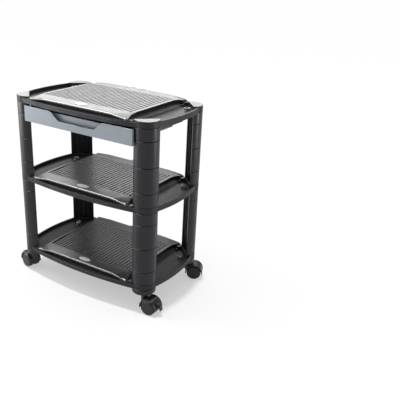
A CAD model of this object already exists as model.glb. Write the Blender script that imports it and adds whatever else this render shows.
import math

import bmesh
import bpy
from mathutils import Matrix, Vector


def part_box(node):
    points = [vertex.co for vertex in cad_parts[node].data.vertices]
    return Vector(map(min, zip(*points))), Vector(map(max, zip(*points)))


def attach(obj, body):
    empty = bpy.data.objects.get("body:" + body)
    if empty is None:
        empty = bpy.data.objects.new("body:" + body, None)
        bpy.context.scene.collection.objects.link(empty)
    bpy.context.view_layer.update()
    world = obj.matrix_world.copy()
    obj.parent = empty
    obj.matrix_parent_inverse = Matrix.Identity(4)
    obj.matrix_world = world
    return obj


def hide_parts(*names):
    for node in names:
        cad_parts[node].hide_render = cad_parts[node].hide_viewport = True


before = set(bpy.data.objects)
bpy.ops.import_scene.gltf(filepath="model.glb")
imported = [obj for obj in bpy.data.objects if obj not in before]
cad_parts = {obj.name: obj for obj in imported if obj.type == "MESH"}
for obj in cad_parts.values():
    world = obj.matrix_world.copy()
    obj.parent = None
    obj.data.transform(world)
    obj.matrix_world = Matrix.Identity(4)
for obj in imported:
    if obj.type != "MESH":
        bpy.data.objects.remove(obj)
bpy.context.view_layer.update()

CORNERS = ("front_left", "front_right", "back_left", "back_right")
SHELVES = ("bottom", "middle", "top")
scene = bpy.context.scene


# ---- Materials ----

DRIFT_SCALE, HANDLING_SCALE, GRAIN_SCALE = 9.0, 35.0, 900.0
GLOSS_SPREAD = 0.04
GRAIN_DEPTH, FINE_DEPTH = 0.00003, 0.00001


def noise(tree, scale, detail):
    """The value of a noise texture laid out in the object's own coordinates."""
    place = tree.nodes.new("ShaderNodeTexCoord")
    texture = tree.nodes.new("ShaderNodeTexNoise")
    texture.inputs["Scale"].default_value = scale
    texture.inputs["Detail"].default_value = detail
    tree.links.new(place.outputs["Object"], texture.inputs["Vector"])
    return texture.outputs["Fac"]


def moulded(name, dark, light, rough, depth=GRAIN_DEPTH, specular=0.5, metallic=0.0):
    """A moulded surface: its tone drifts from dark to light, with an uneven gloss and a fine grain."""
    material = bpy.data.materials.new(name + "_look")
    material.use_nodes = True
    tree = material.node_tree
    nodes, links = tree.nodes, tree.links
    shader = nodes["Principled BSDF"]
    shader.inputs["Metallic"].default_value = metallic
    shader.inputs["Specular IOR Level"].default_value = specular

    tone = nodes.new("ShaderNodeMix")
    tone.data_type = "RGBA"
    tone.inputs["A"].default_value = (*dark, 1.0)
    tone.inputs["B"].default_value = (*light, 1.0)
    links.new(noise(tree, DRIFT_SCALE, 4.0), tone.inputs["Factor"])
    links.new(tone.outputs["Result"], shader.inputs["Base Color"])

    gloss = nodes.new("ShaderNodeMapRange")
    gloss.inputs["From Min"].default_value = 0.3
    gloss.inputs["From Max"].default_value = 0.7
    gloss.inputs["To Min"].default_value = rough - GLOSS_SPREAD
    gloss.inputs["To Max"].default_value = rough + GLOSS_SPREAD
    links.new(noise(tree, HANDLING_SCALE, 6.0), gloss.inputs["Value"])
    links.new(gloss.outputs["Result"], shader.inputs["Roughness"])

    relief = nodes.new("ShaderNodeBump")
    relief.inputs["Strength"].default_value = 0.6
    relief.inputs["Distance"].default_value = depth
    links.new(noise(tree, GRAIN_SCALE, 2.0), relief.inputs["Height"])
    links.new(relief.outputs["Normal"], shader.inputs["Normal"])
    return material


shelf_look = moulded("shelf_plastic", (0.017, 0.018, 0.020), (0.024, 0.025, 0.028), 0.46, specular=0.17)
deck_look = moulded("shelf_deck", (0.022, 0.023, 0.024), (0.030, 0.031, 0.032), 0.34, specular=0.6)
nose_look = moulded("shelf_nose", (0.026, 0.027, 0.030), (0.034, 0.035, 0.039), 0.33, specular=0.8)
groove_look = moulded("shelf_groove", (0.014, 0.014, 0.015), (0.019, 0.019, 0.020), 0.50, specular=0.3)
column_look = moulded("column_plastic", (0.013, 0.013, 0.016), (0.018, 0.018, 0.022), 0.33, specular=0.27)
seam_look = moulded("column_seam", (0.006, 0.006, 0.007), (0.009, 0.009, 0.010), 0.6, specular=0.1)
drawer_look = moulded("drawer_plastic", (0.255, 0.295, 0.335), (0.285, 0.325, 0.365), 0.36)
runner_look = moulded("runner_plastic", (0.012, 0.012, 0.013), (0.02, 0.02, 0.022), 0.5)
boss_look = moulded("shelf_boss", (0.14, 0.14, 0.145), (0.18, 0.18, 0.185), 0.22, specular=1.0)
badge_look = moulded("badge_plastic", (0.80, 0.80, 0.80), (0.86, 0.86, 0.86), 0.25, depth=FINE_DEPTH)
steel_look = moulded("steel", (0.62, 0.62, 0.64), (0.74, 0.74, 0.76), 0.40, depth=FINE_DEPTH,
                     metallic=0.5)
caster_look = moulded("caster_plastic", (0.006, 0.006, 0.007), (0.010, 0.010, 0.011), 0.34, specular=0.4)
wheel_look = moulded("wheel_nylon", (0.005, 0.005, 0.006), (0.009, 0.009, 0.010), 0.40, specular=0.35)


# ---- Pieces over the CAD nodes ----

MERGE_DIST, FLAT_DEG = 2e-6, 0.4


def rounded(source, name, width, steps, sharp_deg):
    """A copy of a CAD mesh with its flat facets joined and its sharp edges rounded."""
    mesh = source.data.copy()
    bm = bmesh.new()
    bm.from_mesh(mesh)
    bmesh.ops.remove_doubles(bm, verts=bm.verts, dist=MERGE_DIST)
    bmesh.ops.dissolve_limit(bm, angle_limit=math.radians(FLAT_DEG), verts=bm.verts, edges=bm.edges)
    edges = [e for e in bm.edges
             if len(e.link_faces) == 2 and e.calc_face_angle() > math.radians(sharp_deg)]
    bmesh.ops.bevel(bm, geom=edges, offset=width, offset_type="OFFSET", segments=steps, profile=0.6,
                    affect="EDGES", clamp_overlap=False, loop_slide=True)
    bmesh.ops.triangulate(bm, faces=[f for f in bm.faces if len(f.verts) > 4])
    for face in bm.faces:
        face.smooth = True
    bm.to_mesh(mesh)
    bm.free()
    mesh.validate()
    piece = bpy.data.objects.new(name, mesh)
    scene.collection.objects.link(piece)
    normals = piece.modifiers.new("normals", "WEIGHTED_NORMAL")
    normals.keep_sharp = True
    return piece


def dress(node, body, look, width=0.0005, steps=2, sharp_deg=28):
    """Covers a CAD node with a rounded skin that moves with the node's body."""
    piece = rounded(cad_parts[node], node + "_skin", width, steps, sharp_deg)
    piece.data.materials.clear()
    piece.data.materials.append(look)
    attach(piece, body)
    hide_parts(node)
    return piece


# Shelf sizes, from the middle of the shelf and up from its underside
PLATFORM_X, PLATFORM_Y, PLATFORM_H, PLATFORM_LOW = 0.192, 0.160, 0.028, 0.016
GROOVES_X, GROOVES_Y, GROOVE_SKIN = 0.166, 0.1149, 0.0003
COLLAR_H, COLLAR_SKIN = 0.020, 0.0008
TRAY_H = 0.004
LOCK_AT, LOCK_R = Vector((0.2286, 0.0930)), 0.0102
DECK, GROOVE, BOSS = 1, 2, 3


def zone_shelf(piece, level_z):
    """Gives the platform top, its grooves, the collar tops and the lock screws' bosses their own finish."""
    for look in (deck_look, groove_look, boss_look):
        piece.data.materials.append(look)
    for face in piece.data.polygons:
        x, y, z = face.center
        z -= level_z
        on_platform = abs(x) < PLATFORM_X and abs(y) < PLATFORM_Y and z > PLATFORM_LOW
        in_grooves = abs(x) < GROOVES_X and abs(y) < GROOVES_Y and z < PLATFORM_H - GROOVE_SKIN
        if on_platform and in_grooves and face.normal.z > 0.2:
            face.material_index = GROOVE
        elif on_platform and face.normal.z > 0.5:
            face.material_index = DECK
        elif face.normal.z > 0.9 and abs(z - COLLAR_H) < COLLAR_SKIN:
            face.material_index = DECK
        elif y > 0 and z > TRAY_H and (Vector((abs(x), y)) - LOCK_AT).length < LOCK_R:
            face.material_index = BOSS


COLUMN_AT, COLUMN_R = Vector((0.2256, 0.1200)), 0.038
SEAM_NEAR, SEAM_FAR, SEAM_FRONT = 0.0005, 0.0013, 0.001


def darken_seams(piece, corner):
    """Gives the shadow gap round both ends of each column module a dark finish."""
    piece.data.materials.append(seam_look)
    side_x = 1 if "right" in corner else -1
    side_y = 1 if "back" in corner else -1
    centre = Vector((COLUMN_AT.x * side_x, COLUMN_AT.y * side_y))
    for face in piece.data.polygons:
        out = face.center.xy - centre
        in_gap = COLUMN_R - SEAM_FAR < out.length < COLUMN_R - SEAM_NEAR
        if in_gap and abs(face.normal.z) < 0.5 and out.dot(Vector((side_x, side_y))) > SEAM_FRONT:
            face.material_index = 1


BEAD_STEPS, BEAD_SIDES = 8, 20
BEAD_END, BEAD_NEXT = 0.35, 0.8


def bead(name, body, look, path, radius):
    """A closed round bead along a smooth path, with domed ends."""
    points = []
    for i in range(len(path) - 1):
        before, a, b, after = (Vector(path[min(max(k, 0), len(path) - 1)]) for k in (i - 1, i, i + 1, i + 2))
        for step in range(BEAD_STEPS):
            t = step / BEAD_STEPS
            points.append(0.5 * ((2 * a) + (b - before) * t + (2 * before - 5 * a + 4 * b - after) * t ** 2
                                 + (3 * a - before - 3 * b + after) * t ** 3))
    points.append(Vector(path[-1]))
    verts, faces = [], []
    count, sides = len(points), BEAD_SIDES
    for i, point in enumerate(points):
        along = (points[min(i + 1, count - 1)] - points[max(i - 1, 0)]).normalized()
        side = along.cross(Vector((0, 0, 1))).normalized()
        lift = side.cross(along)
        end = BEAD_END if i in (0, count - 1) else BEAD_NEXT if i in (1, count - 2) else 1
        for k in range(sides):
            turn = 2 * math.pi * k / sides
            verts.append(point + (side * math.cos(turn) + lift * math.sin(turn)) * radius * end)
    for i in range(count - 1):
        for k in range(sides):
            n = (k + 1) % sides
            faces.append((i * sides + k, (i + 1) * sides + k, (i + 1) * sides + n, i * sides + n))
    faces.append(tuple(range(sides)))
    faces.append(tuple((count - 1) * sides + k for k in reversed(range(sides))))
    mesh = bpy.data.meshes.new(name)
    mesh.from_pydata(verts, [], faces)
    mesh.shade_smooth()
    mesh.materials.append(look)
    piece = bpy.data.objects.new(name, mesh)
    scene.collection.objects.link(piece)
    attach(piece, body)
    return piece


# The nose runs straight along the middle of a shelf's edge, then falls and turns out towards the corners
NOSE_R, NOSE_Y, NOSE_DROP, FRONT_FALL = 0.0050, 0.1519, 0.0043, 0.002


def nose_path(level_z, end):
    fall = FRONT_FALL if end < 0 else 0
    top = level_z + PLATFORM_H - NOSE_DROP - fall
    half = [(0.045, NOSE_Y, top), (0.09, NOSE_Y, top), (0.126, NOSE_Y, top - 0.0002),
            (0.150, NOSE_Y + 0.0014, top - 0.0021), (0.168, NOSE_Y + 0.0027, top - 0.0040),
            (0.185, NOSE_Y + 0.0039, top - 0.0062 + fall / 2)]
    return [(-x, end * y, z) for x, y, z in reversed(half)] + [(x, end * y, z) for x, y, z in half]


for shelf in SHELVES:
    skin = dress(shelf + "_shelf", "stand", shelf_look, 0.0004, sharp_deg=35)
    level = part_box(shelf + "_shelf")[0].z
    zone_shelf(skin, level)
    for side, end in (("front", -1), ("back", 1)):
        bead(f"{shelf}_{side}_nose", "stand", nose_look, nose_path(level, end), NOSE_R)
    dress(shelf + "_badge", "stand", badge_look, 0.0003, 3)
    dress(shelf + "_lock_screws", "stand", steel_look, 0.0004)
for corner in CORNERS:
    for tier in ("lower", "upper"):
        for turn in ("odd", "even"):
            skin = dress(f"{corner}_{tier}_{turn}_modules", "stand", column_look, 0.0006)
            darken_seams(skin, corner)
    dress(corner + "_foot_cap", "stand", column_look, 0.0006)
    dress(corner + "_caster_stem", "stand", steel_look, 0.0003)
    dress(corner + "_caster_housing", "caster_" + corner, caster_look, 0.0008, 3)
    dress(corner + "_axle", "caster_" + corner, steel_look, 0.0003)
    for wheel in ("a", "b"):
        dress(f"{corner}_wheel_{wheel}", f"wheel_{corner}_{wheel}", wheel_look, 0.0006)
for corner in CORNERS[:2]:
    dress(corner + "_brake_lever", "brake_" + corner, caster_look, 0.0008, 3)
dress("drawer_front", "drawer", drawer_look, 0.0009, 3)
dress("drawer_tray", "drawer", drawer_look, 0.0006)
for side in ("left", "right"):
    dress("drawer_runner_" + side, "stand", runner_look, 0.0005)


# ---- Floor, light and camera ----

FLOOR_HALF = 30.0
floor_mesh = bpy.data.meshes.new("floor")
floor_mesh.from_pydata([(-FLOOR_HALF, -FLOOR_HALF, 0), (FLOOR_HALF, -FLOOR_HALF, 0),
                        (FLOOR_HALF, FLOOR_HALF, 0), (-FLOOR_HALF, FLOOR_HALF, 0)], [], [(0, 1, 2, 3)])
floor = bpy.data.objects.new("floor", floor_mesh)
scene.collection.objects.link(floor)
floor_look = bpy.data.materials.new("floor_paper")
floor_look.use_nodes = True
paper = floor_look.node_tree.nodes["Principled BSDF"].inputs
paper["Base Color"].default_value = (0.45, 0.45, 0.45, 1)
paper["Roughness"].default_value = 0.9
paper["Specular IOR Level"].default_value = 0.1
# A faint glow of its own keeps the shadow under the stand pale
paper["Emission Color"].default_value = (1, 1, 1, 1)
paper["Emission Strength"].default_value = 0.46
floor_mesh.materials.append(floor_look)


def softbox(name, azimuth, elevation, distance, width, height, power, aim=(0, 0, 0.35)):
    """An area light that the object sees at that azimuth and elevation. Azimuth 0 is -Y, and 90 is +X."""
    light = bpy.data.lights.new(name, "AREA")
    light.shape = "RECTANGLE"
    light.size, light.size_y, light.energy = width, height, power
    lamp = bpy.data.objects.new(name, light)
    scene.collection.objects.link(lamp)
    a, e = math.radians(azimuth), math.radians(elevation)
    out = Vector((math.sin(a) * math.cos(e), -math.cos(a) * math.cos(e), math.sin(e)))
    lamp.location = Vector(aim) + out * distance
    lamp.rotation_euler = out.to_track_quat("Z", "Y").to_euler()
    lamp.visible_camera = False
    return lamp


def gloss_only(lamp):
    """The light shows only in reflections."""
    lamp.visible_diffuse = False
    return lamp


# Behind the stand: a low strip that the middle shelf mirrors under the drawer
gloss_only(softbox("back_box", 212, 0, 1.1, 2.6, 0.24, 8, aim=(0, 0, 0.92)))
# High in front on the left: the bright line on the shelf noses and the light side of the columns
gloss_only(softbox("nose_box", -50, 52, 2.4, 1.8, 1.1, 190))
gloss_only(softbox("left_strip", -60, 8, 2.2, 1.4, 2.2, 75))
gloss_only(softbox("right_strip", 110, 8, 2.2, 0.25, 2.2, 45))
softbox("key_box", -72, 28, 2.8, 1.2, 1.8, 16)
# Above that strip: the top shelf alone mirrors it, most of all in its falling front border
gloss_only(softbox("high_box", 208, 0, 1.1, 2.6, 0.90, 33, aim=(0, 0, 1.52)))

sun = bpy.data.lights.new("overhead", "SUN")
sun.energy, sun.angle = 1.9, math.radians(3)
sun_lamp = bpy.data.objects.new("overhead", sun)
scene.collection.objects.link(sun_lamp)
sun_lamp.rotation_euler = (math.radians(1.4), math.radians(-2.5), 0)

world = bpy.data.worlds.new("studio")
scene.world = world
world.use_nodes = True
world_nodes, world_links = world.node_tree.nodes, world.node_tree.links
rays = world_nodes.new("ShaderNodeLightPath")


def shade(name, strength):
    node = world_nodes.new("ShaderNodeBackground")
    node.name = name
    node.inputs["Color"].default_value = (1, 1, 1, 1)
    node.inputs["Strength"].default_value = strength
    return node.outputs["Background"]


def pick(ray, otherwise, chosen):
    """Uses the chosen shader for that kind of ray, and the other one for the rest."""
    node = world_nodes.new("ShaderNodeMixShader")
    world_links.new(rays.outputs[ray], node.inputs["Fac"])
    world_links.new(otherwise, node.inputs[1])
    world_links.new(chosen, node.inputs[2])
    return node.outputs["Shader"]


seen = pick("Is Camera Ray", pick("Is Glossy Ray", shade("ambient", 0.60), shade("mirrored", 0.20)),
            shade("backdrop", 1.1))
world_links.new(seen, world_nodes["World Output"].inputs["Surface"])

CAMERA_AT = Vector((1.1136, -1.4029, 1.0356))
CAMERA_AZ, CAMERA_EL, CAMERA_ROLL = 28.761, 22.754, 3.423
camera = bpy.data.cameras.new("camera")
camera.sensor_width, camera.lens = 36.0, 51.23
viewer = bpy.data.objects.new("camera", camera)
scene.collection.objects.link(viewer)
az, el, roll = (math.radians(v) for v in (CAMERA_AZ, CAMERA_EL, CAMERA_ROLL))
forward = Vector((-math.sin(az) * math.cos(el), math.cos(az) * math.cos(el), -math.sin(el)))
level_right = Vector((math.cos(az), math.sin(az), 0))
level_up = level_right.cross(forward)
right = level_right * math.cos(roll) + level_up * math.sin(roll)
up = level_up * math.cos(roll) - level_right * math.sin(roll)
viewer.matrix_world = Matrix.Translation(CAMERA_AT) @ Matrix((right, up, -forward)).transposed().to_4x4()
scene.camera = viewer
scene.view_settings.view_transform = "Standard"
